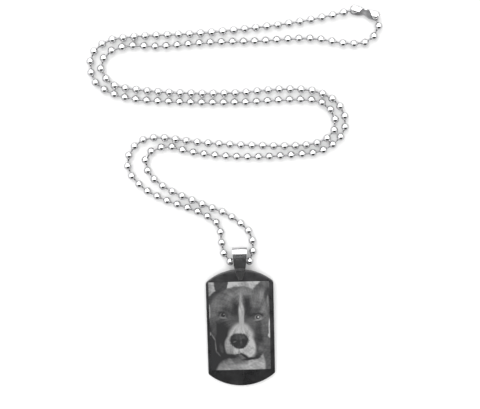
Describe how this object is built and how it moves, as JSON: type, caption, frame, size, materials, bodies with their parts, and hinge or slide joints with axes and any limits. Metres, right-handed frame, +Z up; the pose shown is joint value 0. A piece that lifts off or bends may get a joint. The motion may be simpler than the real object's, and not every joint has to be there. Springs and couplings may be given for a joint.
{
  "type": "engraved tag pendant on a ball chain",
  "caption": "Black engraved dog tag pendant with a folded bail, strung on a looped steel ball chain closed by a connector, laid flat.",
  "frame": {"origin": "on the table under the middle of the whole piece", "axes": "+Z up from the table, +Y from the tag towards the connector, +X to the right seen from above"},
  "size_m": [0.1125, 0.1491, 0.0049],
  "materials": {
    "black_steel": "satin black coating",
    "black_strip": "gloss black coating",
    "bright_balls": "polished",
    "bright_connector": "polished, a little darker"
  },
  "bodies": {
    "root": {"tag_plate": "black_steel", "bail": "black_strip", "ball_chain": "bright_balls", "chain_clasp": "bright_connector"}
  },
  "joints": []
}
